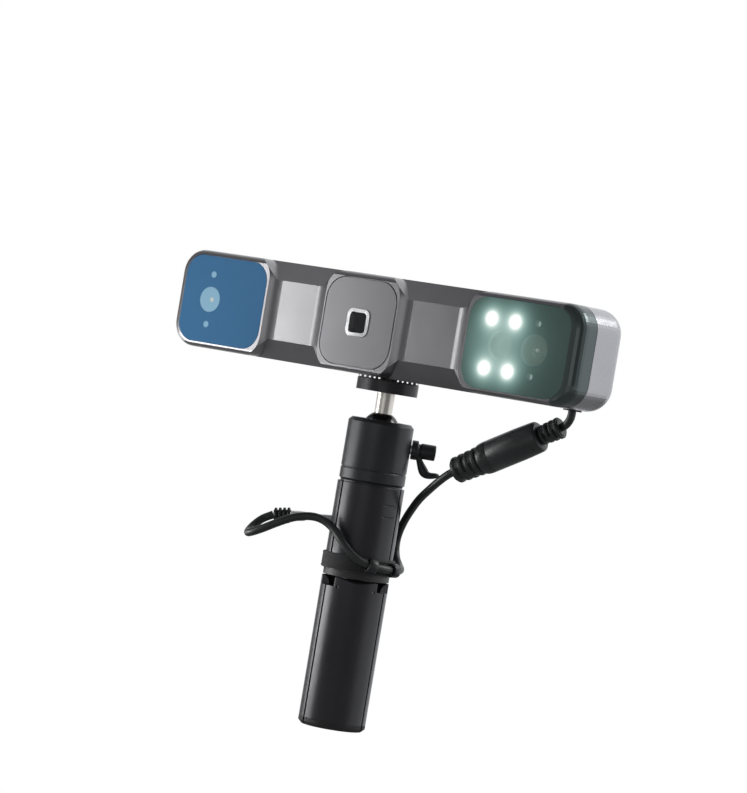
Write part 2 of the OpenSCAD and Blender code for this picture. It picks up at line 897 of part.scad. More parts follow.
module foot(turn) {
    color([0.07, 0.07, 0.07]) rotate([0, 0, leg_az + turn])
        translate([0, 0, -grip_half]) intersection() {
            difference() {
                union() {
                    cylinder(h = 1.4, r1 = grip_r - 1.4, r2 = grip_r, $fn = 128);
                    translate([0, 0, 1.4])
                        cylinder(h = foot_h - 1.4, r = grip_r, $fn = 128);
                }
                translate([0, 0, -1]) cylinder(h = 6, r = 3.2);
            }
            linear_extrude(foot_h) leg_sector();
        }
}

module leg_a() {
    leg(leg_turns[0]);
}

module leg_b() {
    leg(leg_turns[1]);
}

module leg_c() {
    leg(leg_turns[2]);
}

module foot_a() {
    foot(leg_turns[0]);
}

module foot_b() {
    foot(leg_turns[1]);
}

module foot_c() {
    foot(leg_turns[2]);
}

// Elastic band with two eyes that hold the cord against the grip
module cable_band() {
    color([0.1, 0.1, 0.1]) difference() {
        union() {
            translate([0, 0, band_z[0]])
                cylinder(h = band_z[1] - band_z[0], r = grip_r + band_t, $fn = 128);
            for (i = [13, 15])
                aim(cord_route[i], cord_route[i + 1] - cord_route[i - 1])
                    cylinder(h = 4, r = 3, center = true);
        }
        translate([0, 0, 0]) cylinder(h = 40, r = grip_r, $fn = 128);
        for (i = [13, 15])
            aim(cord_route[i], cord_route[i + 1] - cord_route[i - 1])
                cylinder(h = 9, r = cord_d / 2 + 0.35, center = true);
    }
}

// ---- cord, inline connector and plug ----

lead_end = lead_route[len(lead_route) - 1];
connector_dir = connector_end - lead_end;
connector_l = norm(connector_dir);

// Ribbed strain relief along local +Z, from radius r0 to r1
module ribbed(l, r0, r1, ribs) {
    step = l / ribs;
    cylinder(h = l, r1 = r0 - 0.9, r2 = r1 - 0.9);
    for (i = [0 : ribs - 1])
        let (r = r0 + (r1 - r0) * (i + 0.5) / ribs)
            translate([0, 0, step * (i + 0.15)]) cylinder(h = step * 0.6, r = r);
}

module lead_cord() {
    color(black) cord_tube(lead_route, cord_d);
}

module lead_boot() {
    color(black) aim(lead_end, connector_dir) ribbed(boot_l[0], 4.6, 4.1, 4);
}

module connector_body() {
    body = connector_l - boot_l[0] - boot_l[1];
    color([0.15, 0.18, 0.18]) aim(lead_end, connector_dir)
        translate([0, 0, boot_l[0]]) {
            cylinder(h = 1.4, r1 = 5.2, r2 = 6.6);
            translate([0, 0, 1.4]) cylinder(h = body - 4.4, r1 = 6.6, r2 = 6.8);
            translate([0, 0, body - 3]) cylinder(h = 3, r1 = 6.8, r2 = 6.2);
        }
}

module connector_boot() {
    color(black) aim(lead_end, connector_dir)
        translate([0, 0, connector_l - boot_l[1]])
            ribbed(boot_l[1] - 0.3, 6.1, 5.5, 4);
}

module main_cord() {
    color(black) cord_tube(cord_route, cord_d);
}

module plug_boot() {
    color(black) aim(cord_route[len(cord_route) - 1], plug_dir)
        ribbed(plug_l[0], 2.9, 3.4, 4);
}

module plug_body() {
    color("white") aim(cord_route[len(cord_route) - 1], plug_dir)
        translate([0, 0, plug_l[0]]) linear_extrude(plug_l[1])
            rounded(4.2, 9.4, 2);
}

module plug_shell() {
    color([0.3, 0.3, 0.32])
        plug_solid(0, plug_l[0] + plug_l[1], plug_l[0] + plug_l[1] + plug_l[2]);
}

front_shell();
rear_shell();
shell_seal();
left_window();
right_window();
centre_cover();
slot_bezel();
slot_window();
pattern_projector();
left_camera();
right_camera();
left_lens();
right_lens();
flood_lens();
flood_lamp();
lamp_board();
lamp_leds();
marker_leds();
optical_bench();
board_posts();
main_board();
heat_sink();
shell_screws();
thread_insert();
cable_gland();
scan_button();
up_key();
down_key();
status_light();
rubber_pad();
mount_disc();
camera_stud();
stem();
ball();
ball_cup();
seat_ring();
ball_housing();
clamp_pusher();
clamp_screw();
clamp_lever();
tie_screw();
grip_shell();
leg_hub();
leg_pins();
leg_a();
leg_b();
leg_c();
foot_a();
foot_b();
foot_c();
cable_band();
lead_cord();
lead_boot();
connector_body();
connector_boot();
main_cord();
plug_boot();
plug_body();
plug_shell();
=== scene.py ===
import json
import math

import bpy
from mathutils import Matrix, Vector

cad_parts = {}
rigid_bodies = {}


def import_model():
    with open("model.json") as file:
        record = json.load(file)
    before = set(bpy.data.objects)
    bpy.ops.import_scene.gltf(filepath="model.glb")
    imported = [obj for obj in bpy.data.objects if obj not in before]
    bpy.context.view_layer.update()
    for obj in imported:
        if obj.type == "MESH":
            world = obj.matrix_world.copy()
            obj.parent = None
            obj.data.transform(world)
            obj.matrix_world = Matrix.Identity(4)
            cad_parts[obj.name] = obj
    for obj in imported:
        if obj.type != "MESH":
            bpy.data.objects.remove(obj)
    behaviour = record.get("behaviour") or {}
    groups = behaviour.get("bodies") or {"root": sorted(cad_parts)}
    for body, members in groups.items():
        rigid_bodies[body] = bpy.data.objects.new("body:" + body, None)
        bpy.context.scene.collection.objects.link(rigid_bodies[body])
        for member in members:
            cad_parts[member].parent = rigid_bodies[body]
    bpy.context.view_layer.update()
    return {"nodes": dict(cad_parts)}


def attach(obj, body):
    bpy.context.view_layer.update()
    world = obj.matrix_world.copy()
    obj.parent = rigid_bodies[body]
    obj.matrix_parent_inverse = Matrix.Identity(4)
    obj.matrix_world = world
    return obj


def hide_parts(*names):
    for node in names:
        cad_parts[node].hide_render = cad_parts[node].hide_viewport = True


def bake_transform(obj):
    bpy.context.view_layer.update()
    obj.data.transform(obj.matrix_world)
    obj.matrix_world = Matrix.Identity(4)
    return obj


# Handheld scanner on a ball head and a mini-tripod grip: camera, studio,
# cords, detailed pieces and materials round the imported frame. Metres.

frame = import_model()
nodes = frame["nodes"]
scene = bpy.context.scene
MM = 0.001

# ---- places that part.scad uses, in millimetres ----

HEAD_Z = 117.3
LEFT_CAM = (-86.8, HEAD_Z)
RIGHT_CAM = (84.4, HEAD_Z)
FLOOD = (67.3, HEAD_Z)
MARKER_RISE = 10.8
LAMPS = [(x, HEAD_Z + side * 10.2) for x in (61.4, 73.2) for side in (-1, 1)]
LEVER_AZ = math.radians(40)
LEVER_Z = 68.5
HOUSING_R = 13.9
CORD_D = 3.4
BAND_Z = (14.4, 21.0)
GRIP_R = 14.2
BAND_R = GRIP_R + 1.25
BAND_MID = (BAND_Z[0] + BAND_Z[1]) / 2
# the points of the cord's route where the band's eyes hold it
EYE_POINTS = (13, 15)
# the lever's wing: distance out from the grip's axis, drop below the barrel
WING = [(17.2, 1.2), (18.3, 4.0), (19.9, 6.9), (21.4, 8.9), (23.7, 9.6),
        (27.6, 8.9)]

LEAD_ROUTE = [
    (92, 3, 95.7), (92, 3, 94.2), (91.6, 3.1, 92.4), (90.4, 3.5, 90.6),
    (88.8, 4.3, 89.4), (87, 5, 88.6)]
CONNECTOR_END = (42.3, -0.8, 63.4)
CORD_ROUTE = [
    (42.3, -0.8, 63.4), (39.1, -1, 61.3), (34.4, -0.2, 57.8), (28.2, 2.4, 53.4),
    (21.3, 6.5, 48.9), (14.8, 11.1, 43.8), (9.2, 14.9, 38.1), (5.7, 17.1, 32.2),
    (4.7, 18, 26.8), (6.4, 17.2, 22.3), (9.8, 15.2, 19.5),
    (13.6, 11.7, 18.1), (16.3, 7, 17.7), (17.5, 1.5, 17.6),
    (16.9, -4.2, 17.7), (14.4, -9.5, 18.3), (10.6, -13.7, 19.9),
    (6.6, -16.1, 22.9), (2.6, -17.1, 26.6), (-1.5, -17.1, 29.9),
    (-5.6, -17.4, 32.5), (-9.8, -18.6, 34.1), (-14, -21.2, 34.2),
    (-18.7, -24.9, 32.6), (-23.8, -28.6, 29.4), (-29.4, -30.8, 25.9),
    (-34.6, -31, 23.6), (-38.6, -28.2, 23.2), (-40.3, -23.5, 25.8),
    (-39.2, -19.4, 29.2), (-35.9, -16.5, 31.8)]
PLUG_DIR = (22.3, 15.4, 2.85)
# lengths of the connector's two boots, and of the plug's relief, case and nose
BOOT_L = (10, 13)
PLUG_L = (7.3, 6.7, 17.7)
# the boots' ribs: radius at the upper and lower end, and how many
UPPER_RIBS = (4.6, 4.1, 4)
LOWER_RIBS = (6.1, 5.5, 4)
# how far the ribs stand out, and the share of the length that they take up
RIB_HEIGHT = 0.9
RIB_SHARE = 0.62

# ---- radii of the clear openings in the two windows ----

LEFT_OPENING_R = 5.4
RIGHT_OPENING_R = 6.4
FLOOD_OPENING_R = 5.6
MARKER_OPENING_R = 1.35

# ---- fineness of the swept pieces ----

SPAN_STEPS = 6
LEAD_STEPS = 5
WING_STEPS = 8
CORD_SIDES = 20


# ---- camera ----

def turned_axes(azimuth, elevation):
    """Right, up and back axes of a level camera seen from that side."""
    a, e = math.radians(azimuth), math.radians(elevation)
    right = Vector((math.cos(a), math.sin(a), 0))
    back = Vector((math.sin(a) * math.cos(e), -math.cos(a) * math.cos(e),
                   math.sin(e)))
    return right, back.cross(right), back


RIGHT, UP, BACK = turned_axes(azimuth=37, elevation=0.47)
TARGET = RIGHT * -0.00512 + UP * 0.08791
CAMERA_DISTANCE = 1.5004
CAMERA_ROLL = math.radians(9.45)
CAMERA_LENS = 172.1


def make_camera():
    data = bpy.data.cameras.new("camera")
    data.sensor_fit = "HORIZONTAL"
    data.sensor_width = 36
    data.lens = CAMERA_LENS
    data.clip_start = 0.05
    data.clip_end = 20
    camera = bpy.data.objects.new("camera", data)
    c, s = math.cos(CAMERA_ROLL), math.sin(CAMERA_ROLL)
    turn = Matrix((RIGHT * c + UP * s, UP * c - RIGHT * s, BACK))
    place = Matrix.Translation(TARGET + BACK * CAMERA_DISTANCE)
    camera.matrix_world = place @ turn.transposed().to_4x4()
    scene.collection.objects.link(camera)
    scene.camera = camera


# ---- mesh helpers ----

def add_mesh(name, verts, faces, smooth=True):
    mesh = bpy.data.meshes.new(name)
    mesh.from_pydata([tuple(v) for v in verts], [], faces)
    mesh.validate()
    mesh.update()
    for polygon in mesh.polygons:
        polygon.use_smooth = smooth
    obj = bpy.data.objects.new(name, mesh)
    scene.collection.objects.link(obj)
    return obj


def sharpen(obj, degrees):
    """Shades edges over that angle as sharp."""
    obj.data.set_sharp_from_angle(angle=math.radians(degrees))
    return obj


def smooth_line(points, per_span):
    """Points along a Catmull-Rom curve through the given ones, in metres."""
    p = [Vector(q) * MM for q in points]
    ends = [p[0] * 2 - p[1], *p, p[-1] * 2 - p[-2]]
    out = []
    for i in range(1, len(ends) - 2):
        a, b, c, d = ends[i - 1:i + 3]
        for k in range(per_span):
            t = k / per_span
            out.append(0.5 * (2 * b + (c - a) * t
                              + (2 * a - 5 * b + 4 * c - d) * t * t
                              + (3 * b - a - 3 * c + d) * t ** 3))
    return [*out, p[-1]]


def frames_along(line):
    """Tangents, and side axes turned as little as possible, at each point."""
    tangents = [(line[min(i + 1, len(line) - 1)] - line[max(i - 1, 0)])
                .normalized() for i in range(len(line))]
    side = tangents[0].orthogonal().normalized()
    sides = []
    for t in tangents:
        side = (side - t * side.dot(t)).normalized()
        sides.append(side)
    return tangents, sides


def sweep(name, line, tangents, sides, section):
    """A closed tube: section(i) gives the outline's (side, up) offsets."""
    verts, count = [], len(section(0))
    for i, centre in enumerate(line):
        up = tangents[i].cross(sides[i])
        verts += [centre + sides[i] * u + up * w for u, w in section(i)]
    faces = [(i * count + k, i * count + (k + 1) % count,
              (i + 1) * count + (k + 1) % count, (i + 1) * count + k)
             for i in range(len(line) - 1) for k in range(count)]
    faces.append(tuple(reversed(range(count))))
    faces.append(tuple((len(line) - 1) * count + k for k in range(count)))
    return sharpen(add_mesh(name, verts, faces), 60)


def tube(name, line, tangents, sides):
    """A round cord along a line."""
    outline = circle(CORD_D / 2 * MM, CORD_SIDES)
    return sweep(name, line, tangents, sides, lambda i: outline)


def circle(radius, count):
    """A circle's points, in the radius's own unit."""
    return [(radius * math.cos(2 * math.pi * k / count),
             radius * math.sin(2 * math.pi * k / count))
            for k in range(count)]


def aim(start, direction):
    """Matrix that puts local +Z along a direction, from a point in mm."""
    turn = Vector(direction).to_track_quat("Z", "Y").to_matrix().to_4x4()
    return Matrix.Translation(Vector(start) * MM) @ turn


def lathe(name, profile, place, count=48):
    """A turned piece: profile is (radius, height) in mm, closed on the axis."""
    verts, rings = [], []
    for radius, height in profile:
        if radius < 1e-6:
            rings.append([len(verts)])
            verts.append(Vector((0, 0, height * MM)))
        else:
            rings.append(range(len(verts), len(verts) + count))
            verts += [Vector((x * MM, y * MM, height * MM))
                      for x, y in circle(radius, count)]
    faces = []
    for a, b in zip(rings, rings[1:]):
        for k in range(count):
            n = (k + 1) % count
            if len(a) == 1:
                faces.append((a[0], b[n], b[k]))
            elif len(b) == 1:
                faces.append((a[k], a[n], b[0]))
            else:
                faces.append((a[k], a[n], b[n], b[k]))
    obj = add_mesh(name, [place @ v for v in verts], faces)
    return sharpen(obj, 40)


def ring(name, section, place, count, degrees):
    """A closed ring: section is an outline of (radius, height) in mm."""
    verts, faces, size = [], [], len(section)
    for k in range(count):
        a = 2 * math.pi * k / count
        verts += [place @ (Vector((r * math.cos(a), r * math.sin(a), h)) * MM)
                  for r, h in section]
        j = (k + 1) % count
        faces += [(k * size + q, j * size + q, j * size + (q + 1) % size,
                   k * size + (q + 1) % size) for q in range(size)]
    return sharpen(add_mesh(name, verts, faces), degrees)


def arc(cx, cy, radius, start, end, steps):
    """Profile points round a corner, angles in degrees."""
    angles = [math.radians(start + (end - start) * k / steps)
              for k in range(steps + 1)]
    return [(cx + radius * math.cos(a), cy + radius * math.sin(a))
            for a in angles]


make_camera()


# ---- cords ----

def cord_stretch(name, first, last, pair):
    """A stretch of the main cord, with its ends turned like the whole cord."""
    whole = smooth_line(CORD_ROUTE, SPAN_STEPS)
    tangents, sides = frames_along(whole)
    a, b = first * SPAN_STEPS, last * SPAN_STEPS + 1
    line = whole[a:b]
    obj = tube(name, line, tangents[a:b], sides[a:b])
    if len(pair) == 2:
        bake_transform(obj)
    else:
        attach(obj, pair[0])
    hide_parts("main_cord")
    return obj, line


# ---- inline connector ----

def rib_profile(length, r0, r1, ribs, soft=0.4):
    """A ribbed strain relief: rounded rings on a tapered core, in mm."""
    step = length / ribs
    margin = (1 - RIB_SHARE) / 2
    out = [(0, 0), (r0 - RIB_HEIGHT, 0)]
    for i in range(ribs):
        r = r0 + (r1 - r0) * (i + 0.5) / ribs
        c = r - RIB_HEIGHT
        a, b = step * (i + margin), step * (i + margin + RIB_SHARE)
        out += [(c, a - soft * 0.4), (c + 0.12, a)]
        out += arc(r - soft, a + soft, soft, -90, 0, 4)[1:]
        out += arc(r - soft, b - soft, soft, 0, 90, 4)
        out += [(c + 0.12, b), (c, b + soft * 0.4)]
    return [*out, (r1 - RIB_HEIGHT, length), (0, length)]


def bridges(obj, place, length, r0, r1, ribs):
    """Adds the short webs that join one rib to the next, on alternate sides."""
    step = length / ribs
    pieces, half_angle, first_turn = 6, 30, 25
    verts, faces = [], []
    for i in range(ribs - 1):
        c = r0 - RIB_HEIGHT + (r1 - r0) * (i + 1) / ribs
        low, high = step * (i + 0.7), step * (i + 1.3)
        for side in (0, 180):
            base = len(verts)
            mid = side + 90 * (i % 2) + first_turn
            for k in range(pieces + 1):
                angle = math.radians(mid + half_angle * (2 * k / pieces - 1))
                for r, h in ((c - 0.4, low), (c + 0.62, low),
                             (c + 0.62, high), (c - 0.4, high)):
                    point = Vector((r * math.cos(angle),
                                    r * math.sin(angle), h))
                    verts.append(place @ (point * MM))
            for k in range(pieces):
                a, b = base + 4 * k, base + 4 * k + 4
                faces += [(a + j, a + (j + 1) % 4, b + (j + 1) % 4, b + j)
                          for j in range(4)]
            last = base + 4 * pieces
            faces += [(base + 3, base + 2, base + 1, base),
                      (last, last + 1, last + 2, last + 3)]
    web = add_mesh(obj.name + "_webs", verts, faces, smooth=False)
    web.parent = obj
    return web


def latch_holes(start, unit):
    """Two small rimmed holes on the side of the connector's case."""
    facing = (BACK - unit * BACK.dot(unit)).normalized()
    down = unit.cross(facing)
    rim = [(0, 0), (0.62, 0), (0.62, 0.26), (0.42, 0.34), (0.36, 0.1), (0, 0.1)]
    holes = []
    for k, (along, turn) in enumerate(((3.4, -38), (18, -44))):
        a = math.radians(turn)
        out = facing * math.cos(a) + down * math.sin(a)
        at = start + unit * (BOOT_L[0] + along) + out * 6.5
        holes.append(lathe("latch_hole_%d" % (k + 1), rim, aim(at, out), 20))
    return holes


def make_connector():
    """The lead with its two ribbed boots and the case between them."""
    start = Vector(LEAD_ROUTE[-1])
    direction = Vector(CONNECTOR_END) - start
    total = direction.length
    unit = direction.normalized()
    body_l = total - sum(BOOT_L)
    # the lead goes on inside the connector, up to where the main cord starts
    spans = 8
    inside = [start + unit * total * (k + 1) / spans for k in range(spans)]
    lead_line = smooth_line([*LEAD_ROUTE, *inside], LEAD_STEPS)
    tangents, sides = frames_along(lead_line)
    lead = tube("lead_cable", lead_line, tangents, sides)
    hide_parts("lead_cord")

    high = aim(start, unit)
    upper = lathe("upper_boot", rib_profile(BOOT_L[0], *UPPER_RIBS), high)
    upper_webs = bridges(upper, high, BOOT_L[0], *UPPER_RIBS)
    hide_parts("lead_boot")

    place = aim(start + unit * BOOT_L[0], unit)
    profile = [(0, 0), (4.4, 0), *arc(5.0, 1.5, 1.5, -80, -5, 8), (6.6, 2.6),
               (6.8, 9.2), (6.8, body_l - 5.6), (6.66, body_l - 5.4),
               (6.66, body_l - 5.1), (6.78, body_l - 4.9),
               (6.74, body_l - 2.6), (6.6, body_l - 1.4),
               *arc(5.5, body_l - 0.9, 0.9, 10, 90, 5), (0, body_l)]
    body = lathe("connector_case", profile, place, 64)
    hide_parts("connector_body")

    low = aim(start + unit * (total - BOOT_L[1]), unit)
    ribbed = rib_profile(BOOT_L[1], *LOWER_RIBS, soft=0.6)
    lower = lathe("lower_boot", [(0, -0.3), (5.2, -0.3), *ribbed[2:]], low)
    lower_webs = bridges(lower, low, BOOT_L[1], *LOWER_RIBS)
    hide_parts("connector_boot")

    parts = [upper, upper_webs, body, lower, lower_webs,
             *latch_holes(start, unit)]
    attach(lead, "head")
    for piece in parts:
        if piece.parent is None:
            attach(piece, "head")


def superellipse(half_u, half_v, count, power):
    """A rounded rectangle's outline, in metres."""
    out = []
    for k in range(count):
        a = 2 * math.pi * (k + 0.5) / count
        c, s = math.cos(a), math.sin(a)
        out.append((half_u * MM * math.copysign(abs(c) ** (2 / power), c),
                    half_v * MM * math.copysign(abs(s) ** (2 / power), s)))
    return out


def make_plug():
    """The ribbed relief, the flat pale case and the dark nose."""
    start = Vector(CORD_ROUTE[-1])
    unit = Vector(PLUG_DIR).normalized()
    boot = lathe("plug_relief", rib_profile(PLUG_L[0], 2.9, 3.4, 4, soft=0.3),
                 aim(start, unit), 32)
    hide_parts("plug_boot")

    # the flat parts keep the CAD solids' own turn about their axis
    theta = math.acos(unit.z)
    phi = math.atan2(unit.y, unit.x)
    turn = Matrix.Rotation(phi, 3, "Z") @ Matrix.Rotation(theta, 3, "Y")
    side = turn @ Vector((1, 0, 0))

    def flat(name, stations, power):
        line = [(start + unit * h) * MM for h, _, _ in stations]
        count = len(line)
        return sweep(name, line, [unit] * count, [side] * count,
                     lambda i: superellipse(stations[i][1], stations[i][2],
                                            40, power))

    h = PLUG_L[0]
    body = flat("plug_case", [
        (h, 1.7, 4.3), (h + 0.12, 1.9, 4.52), (h + 0.35, 2.05, 4.66),
        (h + 0.7, 2.1, 4.7), (h + 3.2, 2.1, 4.7), (h + 5.6, 1.95, 4.5),
        (h + 6.5, 1.7, 4.3), (h + PLUG_L[1], 1.4, 4.05)], 4.5)
    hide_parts("plug_body")
    h += PLUG_L[1]
    shell = flat("plug_nose", [
        (h, 1.22, 3.92), (h + 0.1, 1.28, 3.98), (h + 3, 1.28, 3.98),
        (h + 3.1, 1.2, 3.9), (h + 3.35, 1.2, 3.9), (h + 3.45, 1.28, 3.98),
        (h + PLUG_L[2] - 0.4, 1.28, 3.98), (h + PLUG_L[2], 1.05, 3.75)], 5)
    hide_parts("plug_shell")
    for piece in (boot, body, shell):
        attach(piece, "root")
    return [boot, body, shell]


make_connector()
# the neck spans the nod, the top the roll and the side the pan; these three are
# attached to no body and do not follow the joints
neck = cord_stretch("cable_neck", 0, 2, ("roll_cup", "head"))[0]
cord_stretch("cable_top", 2, 6, ("pan_ring", "roll_cup"))
for name, first, last, pair in (("cable_side", 6, 12, ("root", "pan_ring")),
                                ("cable_wrap", 12, 18, ("root",))):
    cord_stretch(name, first, last, pair)
cord_stretch("cable_loop", 18, 30, ("root",))
make_plug()


# ---- clamp lever ----

def make_lever():
    """The turned barrel, its collar, and the curved wing under it."""
    out = Vector((math.cos(LEVER_AZ), math.sin(LEVER_AZ), 0))
    hub = HOUSING_R + 0.4
    place = aim(out * hub + Vector((0, 0, LEVER_Z)), out)
    barrel = lathe("lever_barrel", [
        (0, 0), (3.75, 0), *arc(3.8, 0.3, 0.3, -90, 0, 3), (4.1, 2.0),
        *arc(3.7, 2.2, 0.4, 0, 80, 4), (3.0, 2.75), (2.85, 3.0), (2.85, 3.5),
        (3.0, 3.8), *arc(2.9, 4.2, 0.4, -60, 0, 4), (3.3, 9.3),
        *arc(2.75, 9.65, 0.55, 0, 90, 6), (1.5, 10.2), (1.35, 9.9),
        (0.9, 9.7), (0, 9.65)], place)
    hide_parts("clamp_lever")
    # the wing: a hook from the barrel's root down and out to its toe
    side = Vector((0, 0, 1)).cross(out)
    line = smooth_line([out * q + Vector((0, 0, LEVER_Z - drop))
                        for q, drop in WING], WING_STEPS)
    # half its width and thickness: rounded at the toe, thickest in the middle
    half = []
    for i in range(len(line)):
        t = i / (len(line) - 1)
        tip = math.sqrt(max(0.04, 1 - max(0, (t - 0.86) / 0.145) ** 2))
        swell = math.sin(math.pi * min(1, max(0, t - 0.12) / 0.8)) ** 2
        half.append(((2.2 - 0.55 * t) * tip, (1.25 + 0.75 * swell) * tip))
    tangents, _ = frames_along(line)
    sides = [(side - t * side.dot(t)).normalized() for t in tangents]
    wing = sweep("lever_wing", line, tangents, sides,
                 lambda i: superellipse(half[i][0], half[i][1], 28, 2.8))
    wing.parent = barrel
    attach(barrel, "lever")


# ---- elastic cable band ----

def make_elastic():
    """The elastic itself, with a thicker hem along both edges."""
    half = (BAND_Z[1] - BAND_Z[0]) / 2
    outline = [(GRIP_R + 0.02, -half + 0.15), (GRIP_R + 0.22, -half),
               (BAND_R - 0.35, -half), (BAND_R - 0.05, -half + 0.3),
               (BAND_R, -half + 0.7), (BAND_R - 0.16, -half + 0.95),
               (BAND_R - 0.12, -half * 0.4), (BAND_R - 0.1, 0)]
    outline += [(r, -z) for r, z in reversed(outline[:-1])]
    middle = Matrix.Translation((0, 0, BAND_MID * MM))
    band = ring("elastic_band", outline, middle, 160, 50)
    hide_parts("cable_band")
    return band


def make_eyes(band, route):
    """A moulded eye round the cord at each of its two route points."""
    inner, outer = CORD_D / 2 + 0.36, 2.98
    section = [(inner, 0.25), (inner + 0.2, 0), (outer - 0.25, 0),
               (outer, 0.3), (outer, 3.7), (outer - 0.25, 4),
               (inner + 0.2, 4), (inner, 3.75)]
    for n, i in enumerate(EYE_POINTS):
        along = (route[i + 1] - route[i - 1]).normalized()
        eye = ring("band_eye_%d" % (n + 1), section,
                   aim(route[i] - along * 2, along), 36, 40)
        eye.parent = band


def make_stitches(band, route):
    """A line of raised stitches on both sides of each eye."""
    rows, pitch = 6, 0.95
    # a stitch's corners: along the band, up, and out of it
    base = [(-0.17, -0.32, 0), (0.17, -0.32, 0), (0.17, 0.32, 0),
            (-0.17, 0.32, 0)]
    top = [(-0.08, -0.2, 0.17), (0.08, -0.2, 0.17), (0.08, 0.2, 0.17),
           (-0.08, 0.2, 0.17)]
    sides = ((3, 2, 1, 0), (4, 5, 6, 7), (0, 1, 5, 4), (1, 2, 6, 5),
             (2, 3, 7, 6), (3, 0, 4, 7))
    verts, faces = [], []
    for i in EYE_POINTS:
        for gap in (4.3, -4.3):
            middle = math.atan2(route[i].y, route[i].x) + gap / BAND_R
            for row in range(rows):
                z = BAND_Z[0] + pitch * (row + 1)
                first = len(verts)
                for across, rise, out in (*base, *top):
                    r = BAND_R - 0.17 + out
                    a = middle + across / BAND_R
                    verts.append(Vector((r * math.cos(a), r * math.sin(a),
                                         z + rise)) * MM)
                faces += [tuple(first + q for q in f) for f in sides]
    stitches = add_mesh("band_stitches", verts, faces)
    stitches.parent = band


def make_band():
    """A woven elastic band on the grip, with two eyes for the cord."""
    route = [Vector(p) for p in CORD_ROUTE]
    band = make_elastic()
    make_eyes(band, route)
    make_stitches(band, route)
    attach(band, "root")


make_lever()
make_band()


# ---- materials ----

class Surface:
    """One node material, whose methods add nodes on Object coordinates."""

    def __init__(self, name):
        self.material = bpy.data.materials.new(name)
        self.material.use_nodes = True
        self.tree = self.material.node_tree
        self.tree.nodes.clear()
        self.output = self.add("ShaderNodeOutputMaterial")
        self.shader = self.add("ShaderNodeBsdfPrincipled")
        self.link(self.shader.outputs[0], self.output.inputs["Surface"])
        self.place = self.add("ShaderNodeTexCoord").outputs["Object"]
        self.normal = None

    def add(self, kind, **settings):
        node = self.tree.nodes.new(kind)
        for key, value in settings.items():
            setattr(node, key, value)
        return node

    def link(self, a, b):
        self.tree.links.new(a, b)

    def feed(self, socket, value):
        """Links an output to a socket, or sets a number or a colour there."""
        if isinstance(value, bpy.types.NodeSocket):
            self.link(value, socket)
        elif isinstance(value, tuple):
            socket.default_value = (*value, 1)
        else:
            socket.default_value = value

    def set(self, **values):
        for key, value in values.items():
            self.feed(self.shader.inputs[key.replace("_", " ")], value)

    def split(self):
        """The X, Y and Z of the place."""
        node = self.add("ShaderNodeSeparateXYZ")
        self.link(self.place, node.inputs[0])
        return node.outputs

    def stretched(self, factors):
        """The place scaled along each axis, to draw a noise into streaks."""
        node = self.add("ShaderNodeMapping")
        node.inputs["Scale"].default_value = factors
        self.link(self.place, node.inputs["Vector"])
        return node.outputs[0]

    def noise(self, scale, detail, roughness, at=None, distortion=0.0):
        """Noise about 0.5; the scale is in cells per metre."""
        node = self.add("ShaderNodeTexNoise")
        node.inputs["Scale"].default_value = scale
        node.inputs["Detail"].default_value = detail
        node.inputs["Roughness"].default_value = roughness
        node.inputs["Distortion"].default_value = distortion
        self.link(at or self.place, node.inputs["Vector"])
        return node.outputs["Fac"]

    def math(self, operation, a, b=0.0):
        node = self.add("ShaderNodeMath", operation=operation)
        self.feed(node.inputs[0], a)
        self.feed(node.inputs[1], b)
        return node.outputs[0]

    def remap(self, value, low, high, to_low, to_high, smooth=False):
        """Maps low to high onto to_low to to_high, clamped there."""
        node = self.add("ShaderNodeMapRange")
        if smooth:
            node.interpolation_type = "SMOOTHSTEP"
        limits = (low, high, to_low, to_high)
        for socket, number in zip(node.inputs[1:5], limits):
            socket.default_value = number
        self.link(value, node.inputs[0])
        return node.outputs[0]

    def mix(self, factor, a, b, blend="MIX"):
        node = self.add("ShaderNodeMix", data_type="RGBA", blend_type=blend)
        # the colour sockets of a mix node are 6, 7 and, going out, 2
        self.feed(node.inputs[0], factor)
        self.feed(node.inputs[6], a)
        self.feed(node.inputs[7], b)
        return node.outputs[2]

    def bump(self, height, strength, distance_mm, rounding_mm=0.0):
        """Chains one more bump; the first can start from rounded edges."""
        node = self.add("ShaderNodeBump")
        node.inputs["Strength"].default_value = strength
        node.inputs["Distance"].default_value = distance_mm * MM
        self.link(height, node.inputs["Height"])
        if self.normal is None and rounding_mm:
            self.normal = self.bevelled(rounding_mm)
        if self.normal is not None:
            self.link(self.normal, node.inputs["Normal"])
        self.normal = node.outputs[0]
        self.link(self.normal, self.shader.inputs["Normal"])

    def bevelled(self, radius_mm):
        """The normal, with edges rounded over that radius."""
        node = self.add("ShaderNodeBevel", samples=6)
        node.inputs["Radius"].default_value = radius_mm * MM
        return node.outputs[0]

    def edge_mask(self, radius_mm):
        """1 on edges and 0 on flats, from how far the bevel turns a normal."""
        flat_below, edge_above = 0.02, 0.25
        dot = self.add("ShaderNodeVectorMath", operation="DOT_PRODUCT")
        self.link(self.bevelled(radius_mm), dot.inputs[0])
        self.link(self.add("ShaderNodeNewGeometry").outputs["Normal"],
                  dot.inputs[1])
        off = self.math("SUBTRACT", 1.0, dot.outputs["Value"])
        return self.remap(off, flat_below, edge_above, 0, 1, smooth=True)

    def length(self, a, b):
        """Length of a vector with those two components."""
        return self.math("SQRT", self.math(
            "ADD", self.math("MULTIPLY", a, a), self.math("MULTIPLY", b, b)))

    def radial(self, at):
        """Distance in mm from a line along Y through a point of the head."""
        place = self.split()
        dx = self.math("SUBTRACT", place["X"], at[0] * MM)
        dz = self.math("SUBTRACT", place["Z"], at[1] * MM)
        return self.math("MULTIPLY", self.length(dx, dz), 1 / MM)


def shade(colour, factor):
    """A darker or lighter colour."""
    return tuple(min(1.0, c * factor) for c in colour)


